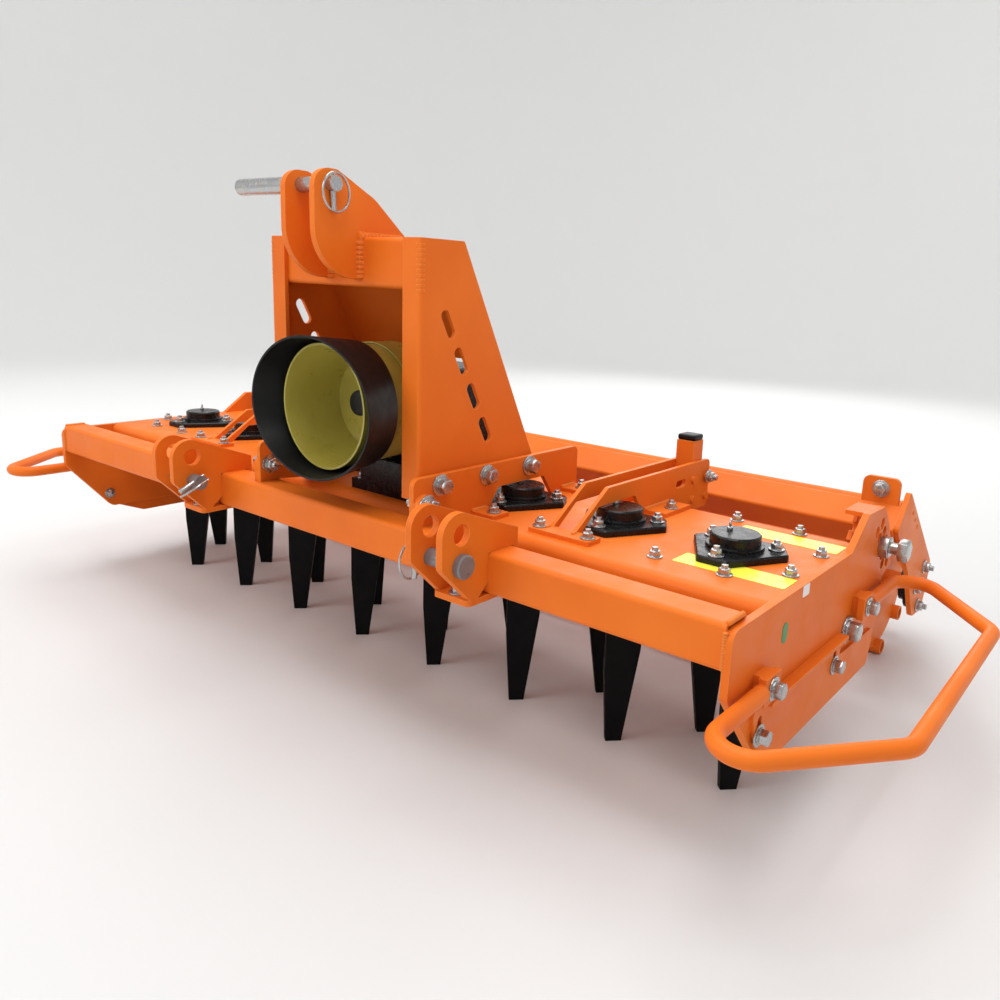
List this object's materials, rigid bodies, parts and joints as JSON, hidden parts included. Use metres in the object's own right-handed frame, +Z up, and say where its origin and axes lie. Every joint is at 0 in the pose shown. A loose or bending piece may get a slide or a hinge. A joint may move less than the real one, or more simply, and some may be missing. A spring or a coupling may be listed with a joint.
{
  "type": "power harrow",
  "caption": "Tractor-mounted power harrow with a row of counter-rotating knife-tined rotors under a gear trough, a three-point headstock, side guard hoops and a rear cage roller.",
  "frame": {"origin": "on the ground, at the middle of the overall width and length", "axes": "+X across the machine to the right in the picture, +Y to the rear, +Z up"},
  "size_m": [2.321, 1.241, 0.955],
  "materials": {
    "orange_paint": "gloss enamel",
    "black_casting": "semi-gloss black paint on cast iron",
    "tine_black": "black-painted forged steel",
    "zinc_steel": "bright zinc plate",
    "bare_steel": "ground steel",
    "guard_yellow": "satin moulded plastic",
    "collar_black": "flexible collar"
  },
  "bodies": {
    "frame": {"front_beam": "orange_paint", "gear_trough": "orange_paint", "trough_cover": "orange_paint", "bearing_caps": "black_casting", "mast_crossbar": "orange_paint", "mast_back": "orange_paint", "top_link_ears": "orange_paint", "top_link_pin": "zinc_steel", "depth_pins": "zinc_steel", "gearbox": "black_casting", "pto_guard_cone": "guard_yellow", "pto_guard_collar": "collar_black", "side_plate_r": "orange_paint", "side_plate_l": "orange_paint", "side_deflector_r": "orange_paint", "side_deflector_l": "orange_paint", "guard_hoop_r": "orange_paint", "guard_hoop_l": "orange_paint", "hitch_bracket_r": "orange_paint", "hitch_bracket_l": "orange_paint", "hitch_pin_r": "zinc_steel", "hitch_pin_l": "zinc_steel", "mast_upright_r": "orange_paint", "mast_upright_l": "orange_paint", "mast_base_r": "orange_paint", "mast_base_l": "orange_paint", "leveller_bracket_r": "orange_paint", "leveller_bracket_l": "orange_paint"},
    "rotor_1": {"rotor_1": "tine_black"},
    "rotor_2": {"rotor_2": "tine_black"},
    "rotor_3": {"rotor_3": "tine_black"},
    "rotor_4": {"rotor_4": "tine_black"},
    "rotor_5": {"rotor_5": "tine_black"},
    "rotor_6": {"rotor_6": "tine_black"},
    "rotor_7": {"rotor_7": "tine_black"},
    "rotor_8": {"rotor_8": "tine_black"},
    "pto_input": {"pto_shaft": "bare_steel"},
    "roller_frame": {"roller_beam": "orange_paint", "roller_bearings": "black_casting", "roller_arm_r": "orange_paint", "roller_arm_l": "orange_paint", "roller_end_r": "orange_paint", "roller_end_l": "orange_paint"},
    "roller": {"roller": "orange_paint"},
    "leveller": {"leveller_bar": "orange_paint"}
  },
  "joints": [
    {"name": "rotor_1_spin", "type": "hinge", "parent": "frame", "child": "rotor_1", "pos_m": [-0.7875, -0.2095, 0.25], "axis": [0, 0, 1], "continuous": true},
    {"name": "rotor_2_spin", "type": "hinge", "parent": "frame", "child": "rotor_2", "pos_m": [-0.5625, -0.2095, 0.25], "axis": [0, 0, 1], "continuous": true},
    {"name": "rotor_3_spin", "type": "hinge", "parent": "frame", "child": "rotor_3", "pos_m": [-0.3375, -0.2095, 0.25], "axis": [0, 0, 1], "continuous": true},
    {"name": "rotor_4_spin", "type": "hinge", "parent": "frame", "child": "rotor_4", "pos_m": [-0.1125, -0.2095, 0.25], "axis": [0, 0, 1], "continuous": true},
    {"name": "rotor_5_spin", "type": "hinge", "parent": "frame", "child": "rotor_5", "pos_m": [0.1125, -0.2095, 0.25], "axis": [0, 0, 1], "continuous": true},
    {"name": "rotor_6_spin", "type": "hinge", "parent": "frame", "child": "rotor_6", "pos_m": [0.3375, -0.2095, 0.25], "axis": [0, 0, 1], "continuous": true},
    {"name": "rotor_7_spin", "type": "hinge", "parent": "frame", "child": "rotor_7", "pos_m": [0.5625, -0.2095, 0.25], "axis": [0, 0, 1], "continuous": true},
    {"name": "rotor_8_spin", "type": "hinge", "parent": "frame", "child": "rotor_8", "pos_m": [0.7875, -0.2095, 0.25], "axis": [0, 0, 1], "continuous": true},
    {"name": "pto_spin", "type": "hinge", "parent": "frame", "child": "pto_input", "pos_m": [0.1125, -0.4245, 0.555], "axis": [0, 1, 0], "continuous": true},
    {"name": "roller_lift", "type": "hinge", "parent": "frame", "child": "roller_frame", "pos_m": [0, -0.0445, 0.229], "axis": [-1, 0, 0], "range_deg": [0, 18]},
    {"name": "roller_spin", "type": "hinge", "parent": "roller_frame", "child": "roller", "pos_m": [0, 0.4405, 0.18], "axis": [1, 0, 0], "continuous": true},
    {"name": "leveller_slide", "type": "slide", "parent": "frame", "child": "leveller", "axis": [0, 0, 1], "range_m": [-0.04, 0.06]}
  ],
  "couplings": [
    {"joint": "rotor_1_spin", "follows": "rotor_5_spin", "ratio": 1},
    {"joint": "rotor_2_spin", "follows": "rotor_5_spin", "ratio": -1},
    {"joint": "rotor_3_spin", "follows": "rotor_5_spin", "ratio": 1},
    {"joint": "rotor_4_spin", "follows": "rotor_5_spin", "ratio": -1},
    {"joint": "rotor_6_spin", "follows": "rotor_5_spin", "ratio": -1},
    {"joint": "rotor_7_spin", "follows": "rotor_5_spin", "ratio": 1},
    {"joint": "rotor_8_spin", "follows": "rotor_5_spin", "ratio": -1},
    {"joint": "pto_spin", "follows": "rotor_5_spin", "ratio": 1.6}
  ]
}
